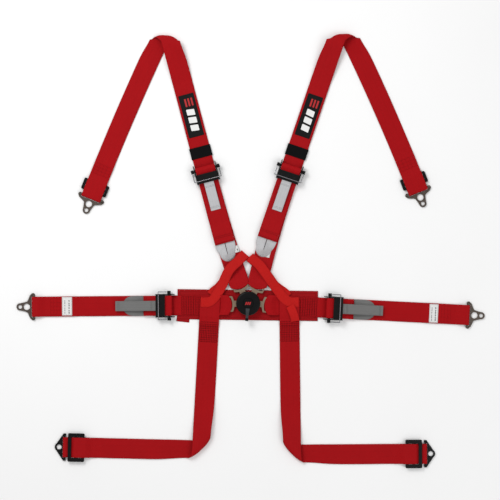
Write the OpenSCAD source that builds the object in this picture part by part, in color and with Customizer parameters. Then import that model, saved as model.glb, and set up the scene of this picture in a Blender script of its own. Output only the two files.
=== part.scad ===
// Racing harness laid out flat, in millimetres.
// The floor is z = 0, +Y runs towards the shoulder straps, +X to the right-hand lap anchor.

/* [Webbing] */
// Width of the shoulder, lap and leg webbing
web_w = 50; // [48:0.5:51]
// Thickness of the webbing
web_t = 1.6; // [1.2:0.1:1.6]
// Width of the grey and red ribbons
ribbon_w = 25; // [20:1:27]
// Thickness of the ribbons
ribbon_t = 1.0; // [0.8:0.1:1.0]
// Width of the pad behind the buckle
pad_w = 75; // [70:1:78]
// Length of the pad behind the buckle
pad_len = 351; // [340:1:360]
// Thickness of the pad
pad_t = 2.4; // [2:0.1:2.4]

/* [Buckle] */
// Buckle centre across the harness
buckle_x = -4.5; // [-6:0.5:-3]
// Buckle centre along the harness
buckle_y = -133; // [-134:0.5:-132]
// Radius of the turning knob
knob_r = 30; // [29:0.5:31]
// Radius at which the lock pins stand
pin_ring_r = 17; // [16.5:0.5:17.5]
// Radius of a lock pin
pin_r = 2.5; // [2.2:0.1:2.7]
// Lift of the lock pins at the end of the knob's turn
pin_lift = 4.5; // [4.4:0.1:4.6]
// Thickness of a tongue
tongue_t = 3; // [2.6:0.2:3]

/* [Adjusters] */
// Inside width between the walls of an adjuster frame
frame_gap = 54; // [53:0.5:55]
// Thickness of an adjuster's wall
wall_t = 2; // [1.8:0.1:2.2]
// Radius of the knurled lock bar
lock_bar_r = 3.8; // [3.6:0.1:3.8]
// Distance across the lock bar's two knobs
knobs_across = 74; // [72:1:76]
// Travel of the lock bar in its slots
lock_travel = 2; // [1:0.5:2]

/* [Anchors] */
// Radius of the large bolt hole
big_hole_r = 8; // [7.8:0.1:8]
// Radius of the small clip hole
small_hole_r = 4.8; // [4.5:0.1:5]
// Radius of the bolt hole in a leg anchor
leg_hole_r = 6.2; // [5.5:0.1:6.3]
// Thickness of an anchor plate
plate_t = 3; // [2.5:0.5:3]
// Radius of the bar that a webbing loop turns on
anchor_bar_r = 3; // [2.8:0.1:3]

/* [Layout] */
// Lean of the left shoulder adjuster from straight up
left_lean = 14.8; // [14:0.1:16]
// Lean of the right shoulder adjuster from straight up
right_lean = 18.8; // [18:0.1:19]

/* [Hidden] */
$fn = 48;

gap = 0.1;                       // clearance between layers that lie on each other
low_z = gap + web_t / 2;         // middle of webbing that lies on the floor
second_z = low_z + web_t + gap;  // middle of a second layer on top of it
shoulder_lift = 1.6;             // room under the lower shoulder straps for the leg ribbons
pad_top = pad_t;

// Adjuster frame: u runs from the lock bar towards the roll side, z up
lane_z = 2.2;                    // middle of the strap under an adjuster and its keeper
base_bar = [-20, lane_z + 2.4];
roll_r = lock_bar_r + 0.3 + web_t / 2;
mid_z = lane_z + 4.8;            // middle of the strap between the two turns
lock_z = mid_z + roll_r;
end_bar = [-30.5, lane_z + 3];
end_bar_r = 1.8;
tab_bar = [-31, 14.2];
tab_bar_r = 1.6;

// Buckle heights
back_z = pad_top + gap;
back_t = 1.6;
case_z = back_z + back_t + gap;
slot_z = [5.6, 10.2];
tongue_z = 6.4;
pin_z = 5.2;                     // lower end of the lock pins
case_top = 12.2;
carrier_z = 12.6;
carrier_t = 2;
knob_z = 12.6;
head_z = 20.8;                   // underside of the spindle's head
knob_top = 23.2;

// Where the straps go: lock bar middle, direction of +u, and the far bar of the strap
shoulder_left_at = [-111.5, 202];
shoulder_right_at = [102.6, 203.5];
lap_left_at = [-201.8, -138.8];
lap_right_at = [198, -145];
shoulder_left_dir = 90 + left_lean;
shoulder_right_dir = 90 - right_lean;
lap_left_dir = 0.6;
lap_right_dir = 177.1;

// Slot direction, tongue direction and strap direction at the buckle
tongues = [[120, 112], [60, 62], [180, 184], [0, -8]];

// Anchor bars: place and direction from the bar along its strap
shoulder_anchor_left_at = [-396.5, 131.3];
shoulder_anchor_right_at = [419.5, 147.6];
shoulder_anchor_left_dir = 90 - 21.5;
shoulder_anchor_right_dir = 90 + 21.5;
lap_anchor_left_at = [-540.3, -141.8];
lap_anchor_right_at = [543.5, -162.5];
leg_anchor_left_at = [-463.4, -492.5];
leg_anchor_right_at = [438.1, -509];
leg_left_dir = -1.4;
leg_right_dir = 180.4;
leg_bar_r = 2.5;

// ---- functions -------------------------------------------------------------------------

function unit(v) = v / norm(v);
function left_of(a) = [-sin(a), cos(a), 0];
function smooth(t) = let (c = max(0, min(1, t))) c * c * (3 - 2 * c);

// A polyline of [u, z, r] with its corners rounded to radius r
function corner(a, b, c, r) =
  let (
    d1 = unit(b - a), d2 = unit(c - b),
    turn = atan2(d1.x * d2.y - d1.y * d2.x, d1 * d2),
    side = sign(turn), back = r * tan(abs(turn) / 2),
    middle = b - d1 * back + [-d1.y, d1.x] * r * side,
    steps = max(1, ceil(abs(turn) / 15))
  )
  [for (k = [0:steps])
    let (a = turn * k / steps, s = [d1.y, -d1.x] * r * side)
    middle + [s.x * cos(a) - s.y * sin(a), s.x * sin(a) + s.y * cos(a)]];
function flat2(p) = [p.x, p.y];
function rounded_path(p) = concat(
  [flat2(p[0])],
  [for (i = [1:len(p) - 2])
    each corner(flat2(p[i - 1]), flat2(p[i]), flat2(p[i + 1]), p[i][2])],
  [flat2(p[len(p) - 1])]
);

// Plan point at distance u along an arc that starts at "at" in direction "dir"
function plan(at, dir, bend, u) = abs(bend) < 0.00001
  ? at + u * [cos(dir), sin(dir)]
  : at + 180 / PI / bend * [sin(dir + bend * u) - sin(dir), cos(dir) - cos(dir + bend * u)];

// Stations [middle, across, normal] of a strap that follows a side path of [u, z] points
function lane(path, at, dir, bend = 0) = [
  for (i = [0:len(path) - 1])
  let (
    p = path[i], q0 = path[max(0, i - 1)], q1 = path[min(len(path) - 1, i + 1)],
    d = unit(q1 - q0), h = dir + bend * p.x,
    xy = plan(at, dir, bend, p.x), tangent = [d.x * cos(h), d.x * sin(h), d.y],
    across = left_of(h)
  )
  [[xy.x, xy.y, p.y], across, cross(tangent, across)]];

// Stations through hand-placed points [x, y, z, direction of the across line]
function curve_at(p, i, t) =
  let (
    a = p[max(0, i - 1)], b = p[i], c = p[i + 1], d = p[min(len(p) - 1, i + 2)]
  )
  0.5 * (2 * b + (c - a) * t + (2 * a - 5 * b + 4 * c - d) * t * t
    + (3 * b - a - 3 * c + d) * t * t * t);
function free_stations(p, steps = 5) =
  let (
    s = concat([for (i = [0:len(p) - 2]) each [for (k = [0:steps - 1]) curve_at(p, i, k / steps)]],
      [p[len(p) - 1]])
  )
  [for (i = [0:len(s) - 1])
    let (
      a = s[max(0, i - 1)], b = s[min(len(s) - 1, i + 1)],
      tangent = unit([b.x - a.x, b.y - a.y, b.z - a.z]),
      across = [cos(s[i][3]), sin(s[i][3]), 0]
    )
    [[s[i].x, s[i].y, s[i].z], across, unit(cross(tangent, across))]];

// ---- shared shapes ---------------------------------------------------------------------

// A flat band swept along stations
module ribbon(stations, width, thick) {
  n = len(stations);
  corners = [for (s = stations) for (k = [[-1, -1], [1, -1], [1, 1], [-1, 1]])
    s[0] + s[1] * k.x * width / 2 + s[2] * k.y * thick / 2];
  sides = [for (i = [0:n - 2]) for (k = [0:3])
    let (a = 4 * i + k, b = 4 * i + (k + 1) % 4)
    each [[a, a + 4, b], [b, a + 4, b + 4]]];
  last = 4 * n;
  polyhedron(corners, concat([[0, 1, 2, 3]], sides, [[last - 1, last - 2, last - 3, last - 4]]));
}

module in_frame(at, dir, z = 0) {
  translate([at.x, at.y, z]) rotate(dir) children();
}

module across_bar(r, length) {
  rotate([90, 0, 0]) cylinder(r = r, h = length, center = true);
}

// A band of width w around an arc of radius r about [x, 0], opening towards +x
module arc_band(x, r_in, r_out, half_w, h) {
  linear_extrude(h) intersection() {
    difference() {
      translate([x, 0]) circle(r_out, $fn = 96);
      translate([x, 0]) circle(r_in, $fn = 96);
    }
    translate([0, -half_w]) square([x, 2 * half_w]);
  }
}

// ---- buckle ----------------------------------------------------------------------------

module at_buckle(z = 0) {
  translate([buckle_x, buckle_y, z]) children();
}

module pin_places() {
  for (a = [0:60:300]) rotate(a) translate([pin_ring_r, 0, 0]) children();
}

module buckle_back_plate() {
  color("dimgray") at_buckle(back_z) difference() {
    cylinder(r = 28.5, h = back_t);
    translate([0, 0, -1]) cylinder(r = 4.2, h = 5);
  }
}

module buckle_housing() {
  slot_w = 21;
  color("black") at_buckle() difference() {
    translate([0, 0, case_z]) cylinder(r = 29.5, h = case_top - case_z, $fn = 96);
    for (a = [0:60:300]) rotate(a)
      translate([9.5, -slot_w / 2, slot_z[0]]) cube([25, slot_w, slot_z[1] - slot_z[0]]);
    pin_places() translate([0, 0, pin_z - 0.4]) cylinder(r = pin_r + 0.1, h = 10);
    translate([0, 0, 0]) cylinder(r = 4.2, h = 20);
  }
}

module buckle_spindle() {
  color("silver") at_buckle() {
    translate([0, 0, back_z]) cylinder(r = 4, h = head_z - back_z);
    difference() {
      translate([0, 0, head_z]) cylinder(r = 6.6, h = 1.2);
      translate([-5, -0.6, head_z + 0.7]) cube([10, 1.2, 1]);
    }
  }
}

module lock_pin_carrier() {
  color("silver") at_buckle(carrier_z) difference() {
    cylinder(r = 20.3, h = carrier_t);
    translate([0, 0, -1]) cylinder(r = 5.3, h = 4);
    for (a = [30:60:330]) rotate(a) translate([14, 0, -1]) cylinder(r = 2.5, h = 4);
  }
}

module lock_pins() {
  color("silver") at_buckle(pin_z) pin_places() cylinder(r = pin_r, h = carrier_z - pin_z);
}

module carrier_spring() {
  turns = 3.5;
  steps = 16 * turns;
  wire_r = 0.5;
  low = carrier_z + carrier_t + wire_r + gap;
  high = head_z - 1.2 - wire_r - gap;
  path = [for (i = [0:steps])
    let (a = 22.5 * i, z = low + (high - low) * i / steps)
    [[buckle_x + 8 * cos(a), buckle_y + 8 * sin(a), z], [-cos(a), -sin(a), 0], [0, 0, 1]]];
  color("silver") ribbon(path, 2 * wire_r, 2 * wire_r);
}

module turn_knob() {
  profile = [
    [23, knob_z], [knob_r - 1, knob_z], [knob_r, knob_z + 1], [knob_r, knob_top - 3.7],
    [knob_r - 1.2, knob_top - 1.6], [knob_r - 4, knob_top - 0.6], [18, knob_top],
    [13.4, knob_top], [12.4, head_z + 1.4], [7, head_z + 1.4], [7, head_z - 0.2],
    [4.1, head_z - 0.2], [4.1, head_z - 1.1], [20, head_z - 1.1], [23, head_z - 3.3]
  ];
  color("black") at_buckle() difference() {
    rotate_extrude($fn = 96) polygon(profile);
    rotate(-95) translate([0, 0, head_z - 0.2]) linear_extrude(5) lever_outline(0.1);
    for (a = [10:20:350]) rotate(a) translate([knob_r + 1.6, 0, knob_z + 1.4])
      cylinder(r = 2.2, h = 4.6);
  }
}

module lever_outline(grow) {
  polygon([
    [12.6 - grow, -5 - grow], [12.6 - grow, 5 + grow], [33, 3.4 + grow], [40, 3.4 + grow],
    [40, -3.4 - grow], [33, -3.4 - grow]
  ]);
}

module release_lever() {
  color("gray") at_buckle() rotate(-95) difference() {
    union() {
      translate([0, 0, head_z - 0.1]) linear_extrude(4.3) lever_outline(0);
      translate([31, -3.4, head_z - 5.8]) cube([9, 6.8, 6]);
      translate([40, 0, head_z - 5.8]) cylinder(r = 3.4, h = 10);
    }
    translate([0, 0, head_z - 6.8]) cylinder(r = knob_r + 0.3, h = 6.6);
    for (y = [-3, 0, 3]) translate([20, y, head_z + 4]) rotate([0, 90, 0])
      cylinder(r = 0.5, h = 14);
  }
}

module knob_badge() {
  color("black") at_buckle(head_z + 1.45) cylinder(r = 12.2, h = 0.9);
  color("red") at_buckle(head_z + 2.35) for (x = [-7.5, -4.5, -1.5])
    translate([x, -3.5, 0]) linear_extrude(0.3) polygon([[0, 0], [1.8, 0], [4.8, 7], [3, 7]]);
}

// A tongue: +x runs out of the buckle, the origin is its lock pin
module tongue_plan(grow) {
  middle = 61;
  horn_half = 19.3;
  difference() {
    linear_extrude(tongue_t + 2 * grow) polygon([
      [-5 - grow, -4.2 - grow], [-5 - grow, 4.2 + grow], [0, 6 + grow], [8, 7.5 + grow],
      [20, 7.5 + grow], [20, -7.5 - grow], [8, -7.5 - grow], [0, -6 - grow]
    ]);
    if (grow == 0) translate([0, 0, -1]) cylinder(r = pin_r + 0.4, h = 6);
  }
  arc_band(middle, 38.5 - grow, 43.5 + grow, horn_half + grow, tongue_t + 2 * grow);
  arc_band(middle, 29 - grow, 33.5 + grow, horn_half + grow, tongue_t + 2 * grow);
  for (s = [-1, 1]) translate([23 - grow, s * (horn_half - 1.6) - 1.6 - grow, 0])
    cube([17 + 2 * grow, 3.2 + 2 * grow, tongue_t + 2 * grow]);
}

module tongue_at(k, grow = 0) {
  at_buckle(tongue_z - grow) rotate(tongues[k][0]) translate([pin_ring_r, 0, 0])
    rotate(tongues[k][1] - tongues[k][0]) tongue_plan(grow);
}

module tongue(k) {
  color("tan") tongue_at(k);
}

// Where tongue k's webbing turns: its end is a round arc towards the buckle
function tongue_pin(k) = let (a = tongues[k][0])
  [buckle_x + pin_ring_r * cos(a), buckle_y + pin_ring_r * sin(a)];
function tongue_end(k) = tongue_pin(k) + 25 * [cos(tongues[k][1]), sin(tongues[k][1])];

module round_end(k) {
  p = tongue_pin(k) + 61 * [cos(tongues[k][1]), sin(tongues[k][1])];
  difference() {
    children();
    difference() {
      translate([p.x, p.y, -1]) rotate(tongues[k][1]) translate([-62, -60, 0]) cube([50, 120, 30]);
      translate([p.x, p.y, -2]) cylinder(r = 36, h = 32, $fn = 96);
    }
    tongue_at(k, gap);
  }
}

// ---- pad -------------------------------------------------------------------------------

module lap_pad() {
  color("firebrick") {
    translate([-6, -137.7, pad_t / 2]) rotate(-0.8) cube([pad_len, pad_w, pad_t], center = true);
    translate([-184, -178, 0]) rotate(-6) cube([32, 12, 1.1]);
  }
}

// ---- adjusters -------------------------------------------------------------------------

module adjuster(at, dir) {
  half = frame_gap / 2;
  wall = [
    [-34, 3.2], [-28, 1.6], [8, 1.6], [14, 5], [14, 13], [10, 16.4], [-8, 17.6], [-34, 17.6]
  ];
  color("black") in_frame(at, dir) {
    for (s = [-1, 1]) difference() {
      translate([0, s > 0 ? half + wall_t : -half, 0]) rotate([90, 0, 0])
        linear_extrude(wall_t) polygon(wall);
      translate([0, s * half, lock_z]) across_bar(lock_bar_r - 1.2, 10);
      translate([0, s * half - 5, lock_z - lock_bar_r + 1.2])
        cube([lock_travel, 10, 2 * lock_bar_r - 2.4]);
      translate([lock_travel, s * half, lock_z]) across_bar(lock_bar_r - 1.2, 10);
    }
    translate([base_bar.x, 0, base_bar.y]) across_bar(1.5, frame_gap + 1);
    translate([end_bar.x, 0, end_bar.y]) across_bar(end_bar_r, frame_gap + 1);
    translate([tab_bar.x, 0, tab_bar.y]) across_bar(tab_bar_r, frame_gap + 1);
    translate([-25.5, -half - 0.5, 15.4]) cube([15, frame_gap + 1, 2.2]);
    translate([-33.5, -half - 0.5, 17.3]) cube([5.6, frame_gap + 1, 1.4]);
    for (s = [-1, 1]) translate([11, s * (half + wall_t / 2), 14.2]) across_bar(3.2, wall_t);
  }
}

module lock_bar(at, dir) {
  neck = lock_bar_r - 1.4;
  half = frame_gap / 2;
  knob_t = knobs_across / 2 - half - wall_t - 0.6;
  color("black") in_frame(at, dir, lock_z) {
    across_bar(neck, knobs_across - 1);
    for (a = [0:30:330]) rotate([0, a, 0]) translate([lock_bar_r - 0.9, 0, 0])
      across_bar(0.9, 2 * half - 1);
    across_bar(lock_bar_r - 0.5, 2 * half - 1);
    for (s = [-1, 1]) translate([0, s * (knobs_across - knob_t) / 2, 0])
      across_bar(4.6, knob_t);
  }
}

module spring_wire(at, dir) {
  wire_r = 1;
  outer = 34.6;
  z = 19.8;
  color("silver") in_frame(at, dir) {
    for (s = [-1, 1]) {
      translate([-26.7, s * outer, lock_z]) rotate([0, 90, 0]) cylinder(r = wire_r, h = 21);
      translate([-26.7, s * outer, lock_z]) sphere(wire_r);
      translate([-26.7, s * outer, lock_z]) cylinder(r = wire_r, h = z - lock_z);
      translate([-26.7, s * outer, z]) sphere(wire_r);
    }
    translate([-26.7, 0, z]) across_bar(wire_r, 2 * outer);
  }
}

module release_tab(at, dir, length) {
  fold = tab_bar_r + gap + 0.5;
  tilt = asin((tab_bar.y - 8.3) / length);
  color("lightgray") in_frame(at, dir) translate([tab_bar.x, 0, tab_bar.y]) rotate([0, -tilt, 0])
    difference() {
      translate([0, ribbon_w / 2, 0]) rotate([90, 0, 0]) linear_extrude(ribbon_w) union() {
        circle(fold + 0.5);
        translate([-length, -1]) square([length, 2]);
      }
      across_bar(tab_bar_r + gap, ribbon_w + 1);
    }
}

// A grey ribbon bent into a flat U under the end of a strap's tail
module finger_loop(at, dir, start, length, lift) {
  z = second_z + web_t / 2 + gap + lift;
  color("lightgray") in_frame(at, dir, z) difference() {
    linear_extrude(2.4) union() {
      translate([start - 14, -web_w / 2 + 0.5]) square([22, web_w - 1]);
      polygon([
        [start - 13, -24.5], [start - 13, 24.5], [start - 28, 23], [start - length + 12, 14],
        [start - length + 12, -14], [start - 28, -23]
      ]);
      translate([start - length + 14, 0]) circle(14);
    }
    translate([start - length + 10, 0, -1]) hull() {
      cylinder(r = 4.5, h = 5, $fn = 32);
      translate([length - 24, 0, 0]) cylinder(r = 3, h = 5, $fn = 32);
    }
  }
}

// Side path of a strap through an adjuster, after the points of its tail
function through_adjuster(tail) = concat(tail, [
  [-34, 9.9, 4], [-26, 10.6, 4], [-10, 13.2, 6],
  [-1, mid_z + 2 * roll_r, 3], [2.3 + roll_r, mid_z + 2 * roll_r, roll_r - 0.01],
  [2.3 + roll_r, mid_z, roll_r - 0.01], [base_bar.x - 2.4, mid_z, 2.39],
  [base_bar.x - 2.4, lane_z, 2.39]
]);
third_z = second_z + web_t + gap;
function long_tail(end) = let (z = third_z + shoulder_lift) [
  [end, z + 3.3, 0], [end + 27, z + 3.3, 10], [end + 50, z, 10], [-56, z + 0.3, 6]
];
function short_tail(end) = [[end, third_z + 2.7, 0], [-41, third_z + 2.7, 5]];

// Side path of a closed loop of webbing over an adjuster's end bar, from its sewn end
function fixed_end(sewn, lift) = [
  [sewn, low_z + lift, 0], [14, low_z + lift, 8], [4, end_bar.y - 2.7, 3],
  [-2.7, end_bar.y - 2.7, 2.69], [-2.7, end_bar.y + 2.7, 2.69], [1, end_bar.y + 2.7, 3],
  [13, second_z + lift, 6], [sewn + 5, second_z + lift, 6]
];

// ---- shoulder straps -------------------------------------------------------------------

function end_bar_at(at, dir) = at + end_bar.x * [cos(dir), sin(dir)];

module shoulder_lower_strap(at, dir, k) {
  start = end_bar_at(at, dir);
  finish = tongue_end(k);
  length = norm(finish - start);
  chord = atan2(finish.y - start.y, finish.x - start.x);
  turn = (((dir + 180) - chord + 540) % 360) - 180;
  bend = -2 * turn / length;
  top_z = tongue_z + tongue_t + gap + web_t / 2;
  under_z = tongue_z - gap - web_t / 2;
  path = rounded_path(concat(fixed_end(length - 60, shoulder_lift), [
    [length - 42, second_z + shoulder_lift, 20], [length - 16, top_z, 14],
    [length + 1, top_z, 2], [length + 1, under_z, 2], [length - 16, under_z, 14],
    [length - 38, low_z + shoulder_lift, 8], [length - 58, low_z + shoulder_lift, 0]
  ]));
  color("firebrick") round_end(k) ribbon(lane(path, start, chord + turn, bend), web_w, web_t);
}

module shoulder_upper_strap(at, dir, tail, anchor, anchor_dir, inner_len, fold_out) {
  fold_r = 8;
  fold_low = low_z;
  fold_high = low_z + 2 * fold_r;
  inner_path = rounded_path(concat(through_adjuster(long_tail(tail)), [
    [inner_len - 110, lane_z, 60], [inner_len - 14, fold_high, 40], [inner_len, fold_high, 0]
  ]));
  outer_len = norm(fold_out - anchor);
  outer_dir = atan2(fold_out.y - anchor.y, fold_out.x - anchor.x);
  ease = outer_dir - anchor_dir;
  outer_path = rounded_path([
    [88, low_z, 0], [44, low_z, 3], [35.4, low_z, 1.5], [31, 5.6, 1.5], [24, 5.6, 1.5],
    [19.6, low_z, 1.5], [-3.9, low_z, 3.89], [-3.9, low_z + 7.8, 3.89], [12, low_z + 7.8, 6],
    [28, 7.7, 8], [40, 6.6, 8], [56, second_z, 8], [90, second_z, 8], [104, low_z, 8],
    [outer_len, low_z, 0]
  ]);
  out_stations = lane(outer_path, anchor, outer_dir - ease, 2 * ease / outer_len);
  out_end = out_stations[len(out_stations) - 1];
  in_stations = lane(inner_path, at, dir);
  in_end = in_stations[len(in_stations) - 1];
  out_h = outer_dir + ease;
  turn = [for (k = [1:11]) let (
      t = k / 12, phi = 180 * (1 - t),
      h = dir + (out_h - dir) * t,
      base = in_end[0] * (1 - t) + out_end[0] * t,
      z = fold_low + fold_r * (1 - cos(phi)),
      tangent = [-cos(phi) * cos(h), -cos(phi) * sin(h), -sin(phi)]
    )
    [[base.x + fold_r * sin(phi) * cos(h), base.y + fold_r * sin(phi) * sin(h), z],
      left_of(h), cross(tangent, left_of(h))]];
  back = [for (i = [len(out_stations) - 1:-1:0]) let (s = out_stations[i]) [s[0], s[1], -s[2]]];
  color("firebrick") ribbon(concat(in_stations, turn, back), web_w, web_t);
}

module keeper(at, dir) {
  color("black") in_frame(at, dir, gap) translate([44, 0, 0]) difference() {
    translate([-14, -26.8, 0]) cube([28, 53.6, 4.2]);
    translate([-15, -25.3, lane_z - 1.1]) cube([30, 50.6, 2.1]);
  }
}

// ---- anchors ---------------------------------------------------------------------------

// A twin-hole anchor plate: the webbing bar is at the origin, +x runs to the tip
module twin_hole_anchor(at, dir) {
  bar_z = low_z + 3.9;
  color("dimgray") in_frame(at, dir) {
    difference() {
      linear_extrude(plate_t) union() {
        polygon([
          [-2, -33], [-2, 33], [4, 33], [9, 29], [15, 15], [18, 12.4], [35, 8.6],
          [35, -8.6], [18, -12.4], [15, -15], [9, -29], [4, -33]
        ]);
        translate([17.4, 0]) circle(12.6);
        translate([34, 0]) circle(9);
        for (s = [-1, 1]) translate([1.5, s * 29]) circle(5);
      }
      translate([-20, -26.2, -1]) cube([26.2, 52.4, 6]);
      translate([17.4, 0, -1]) cylinder(r = big_hole_r, h = 6);
      translate([34, 0, -1]) cylinder(r = small_hole_r, h = 6);
    }
    translate([0, 0, bar_z]) across_bar(anchor_bar_r, 62);
    for (s = [-1, 1]) translate([0, s * 29, 0]) difference() {
      translate([-3, -2, 1]) cube([6, 4, bar_z - 1]);
      translate([0, 0, bar_z]) across_bar(anchor_bar_r - 0.2, 8);
    }
  }
}

module leg_anchor(at, dir) {
  bar_z = low_z + 3.4;
  color("black") in_frame(at, dir) {
    difference() {
      linear_extrude(plate_t) union() {
        polygon([[-3, -34], [-3, 34], [3, 34], [19, 10.5], [19, -10.5], [3, -34]]);
        translate([13.5, 0]) circle(11);
      }
      translate([-20, -26.2, -1]) cube([25.2, 52.4, 6]);
      translate([13.5, 0, -1]) cylinder(r = leg_hole_r, h = 6);
    }
    translate([0, 0, bar_z]) across_bar(leg_bar_r, 62);
    for (s = [-1, 1]) translate([0, s * 29, 0]) difference() {
      translate([-2.5, -2, 1]) cube([5, 4, bar_z - 1]);
      translate([0, 0, bar_z]) across_bar(leg_bar_r - 0.2, 8);
    }
  }
}

// A three-bar slide: bars listed as [start, width] along the strap, +x away from the anchor
module slide(at, dir, z, thick, bars, width, hole) {
  length = bars[2][0] + bars[2][1] - bars[0][0];
  color("black") in_frame(at, dir, z) difference() {
    linear_extrude(thick) union() {
      translate([bars[0][0] + 3, -width / 2]) square([length - 6, width]);
      translate([bars[0][0], -width / 2 + 3]) square([length, width - 6]);
      for (x = [3, length - 3], s = [-1, 1])
        translate([bars[0][0] + x, s * (width / 2 - 3)]) circle(3);
    }
    for (k = [0, 1]) let (x = bars[k][0] + bars[k][1])
      translate([x, -hole / 2, -1]) cube([bars[k + 1][0] - x, hole, thick + 2]);
  }
}

module shoulder_slide(at, dir) {
  slide(at, dir, 1.9, 2.8, [[12.5, 5.5], [25, 5], [36.8, 4.5]], 66, 52.4);
}

module leg_slide(at, dir) {
  slide(at, dir, 6, 3, [[8.6, 8.4], [25, 6], [43, 7]], 71, 52.4);
}

// ---- lap straps ------------------------------------------------------------------------

module lap_outer_strap(at, dir, anchor) {
  start = end_bar_at(at, dir);
  length = norm(anchor - start);
  heading = atan2(anchor.y - start.y, anchor.x - start.x);
  path = rounded_path(concat(fixed_end(60, 0), [
    [80, low_z, 8], [length - 114, low_z, 8], [length - 100, second_z, 6],
    [length - 27, second_z, 8], [length - 10, low_z + 7.8, 6], [length + 3.9, low_z + 7.8, 3.89],
    [length + 3.9, low_z, 3.89], [length - 96, low_z, 0]
  ]));
  color("firebrick") ribbon(lane(path, start, heading), web_w, web_t);
}

module lap_inner_strap(at, dir, tail, k) {
  finish = tongue_end(k);
  length = norm(finish - at);
  over_pad = pad_top + gap + web_t / 2;
  top_z = tongue_z + tongue_t + gap + web_t / 2;
  under_z = tongue_z - gap - web_t / 2;
  path = rounded_path(concat(through_adjuster(short_tail(tail)), [
    [9, lane_z, 4], [18, over_pad, 4], [length - 28, over_pad, 6], [length - 13, top_z, 6],
    [length + 1, top_z, 2], [length + 1, under_z, 2], [length - 16, under_z, 0]
  ]));
  color("firebrick") round_end(k) ribbon(lane(path, at, dir), web_w, web_t);
}

// ---- leg straps ------------------------------------------------------------------------

leg_fold_r = 6;
// Height of the leg strap's middle along its length from the sewn top end
leg_rise = [[0, 6.1], [44, 6.1], [52, 4.2], [62, 4.0], [74, low_z], [1000, low_z]];

// Middle, normal of a leg strap point at s along and w across, over a fold of the flat strap
function fold_point(s, w, top, dir, crease, crease_dir, side) =
  let (
    p = top + s * [cos(dir), sin(dir)] + w * [-sin(dir), cos(dir)],
    out = side * [-sin(crease_dir), cos(crease_dir)],
    q = (p - crease) * out,
    wrap = PI * leg_fold_r, phi = max(0, min(1, q / wrap)) * 180,
    moved = q < 0 ? 0 : q < wrap ? leg_fold_r * sin(phi) - q : wrap - 2 * q,
    base = lookup(s, leg_rise), lift = 2 * leg_fold_r * smooth(1 + q / 80),
    z = q < 0 ? base + lift : base + leg_fold_r * (1 + cos(phi))
  )
  [[p.x + out.x * moved, p.y + out.y * moved, z],
    [out.x * sin(phi), out.y * sin(phi), cos(phi)]];

// A closed sheet between two grids of points
module sheet(grid, thick) {
  rows = len(grid);
  cols = len(grid[0]);
  pts = [for (side = [-1, 1]) for (r = grid) for (p = r) p[0] + side * p[1] * thick / 2];
  n = rows * cols;
  top = [for (i = [0:rows - 2]) for (j = [0:cols - 2])
    let (a = n + i * cols + j) each [[a, a + 1, a + cols], [a + 1, a + cols + 1, a + cols]]];
  low = [for (f = top) [f[2] - n, f[1] - n, f[0] - n]];
  rim = concat([for (j = [0:cols - 1]) j], [for (i = [1:rows - 1]) i * cols + cols - 1],
    [for (j = [cols - 2:-1:0]) (rows - 1) * cols + j], [for (i = [rows - 2:-1:1]) i * cols]);
  m = len(rim);
  edge = [for (k = [0:m - 1]) let (a = rim[k], b = rim[(k + 1) % m])
    each [[a, b, a + n], [b, b + n, a + n]]];
  polyhedron(pts, concat(top, low, edge));
}

module leg_strap(top, vertex, anchor, side) {
  dir = atan2(vertex.y - top.y, vertex.x - top.x);
  out_dir = atan2(anchor.y - vertex.y, anchor.x - vertex.x);
  crease_dir = (dir + out_dir) / 2 + (side > 0 ? 180 : 0);
  out = side * [-sin(crease_dir), cos(crease_dir)];
  crease = vertex - out * PI * leg_fold_r / 2;
  to_vertex = norm(vertex - top);
  past = 62;
  steps = concat([0, 20, 36, 44, 50, 54, 62, 68, 74, 100], [for (s = [130:6:to_vertex + past]) s],
    [to_vertex + past]);
  grid = [for (s = steps) [for (j = [0:10])
    fold_point(s, (j - 5) / 10 * web_w, top, dir, crease, crease_dir, side)]];
  flat_len = norm(anchor - vertex);
  path = rounded_path([
    [62, low_z, 0], [-3.4, low_z, 3.39], [-3.4, low_z + 6.8, 3.39], [1, low_z + 6.8, 2],
    [8, 5, 4], [17.6, 5, 2], [24.2, 10, 2], [52, 10, 8], [68, second_z, 8], [74, second_z, 4],
    [84, low_z, 6], [flat_len - past + 0.6, low_z, 0]
  ]);
  color("firebrick") {
    sheet(grid, web_t);
    ribbon(lane(path, anchor, out_dir + 180), web_w, web_t);
  }
}

module leg_ribbon(points) {
  color("red") ribbon(free_stations(points), ribbon_w, ribbon_t);
}

// ---- labels ----------------------------------------------------------------------------

module sewn_patches() {
  size = [109, 39, 1.2];
  color("black") {
    in_frame(shoulder_left_at, shoulder_left_dir, lane_z + web_t / 2 + gap)
      translate([84, -size.y / 2, 0]) cube(size);
    in_frame(shoulder_right_at, shoulder_right_dir, lane_z + web_t / 2 + gap)
      translate([84, -size.y / 2, 0]) cube(size);
  }
}

module label(size) {
  translate([-size.x / 2, -size.y / 2, 0]) cube([size.x, size.y, 0.5]);
}

module sewn_labels() {
  strap_top = second_z + web_t / 2 + gap;
  color("white") {
    translate([-457, -140.5, strap_top]) rotate(0.4) label([25, web_w - 4]);
    translate([459, -158.4, strap_top]) rotate(-2.9) label([22, web_w - 4]);
    translate([-35, 2, strap_top + shoulder_lift]) rotate(16) label([14, 17]);
    translate([40, 0, strap_top + shoulder_lift]) rotate(-16) label([26, 34]);
  }
}

// ---- what is drawn ---------------------------------------------------------------------

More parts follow.
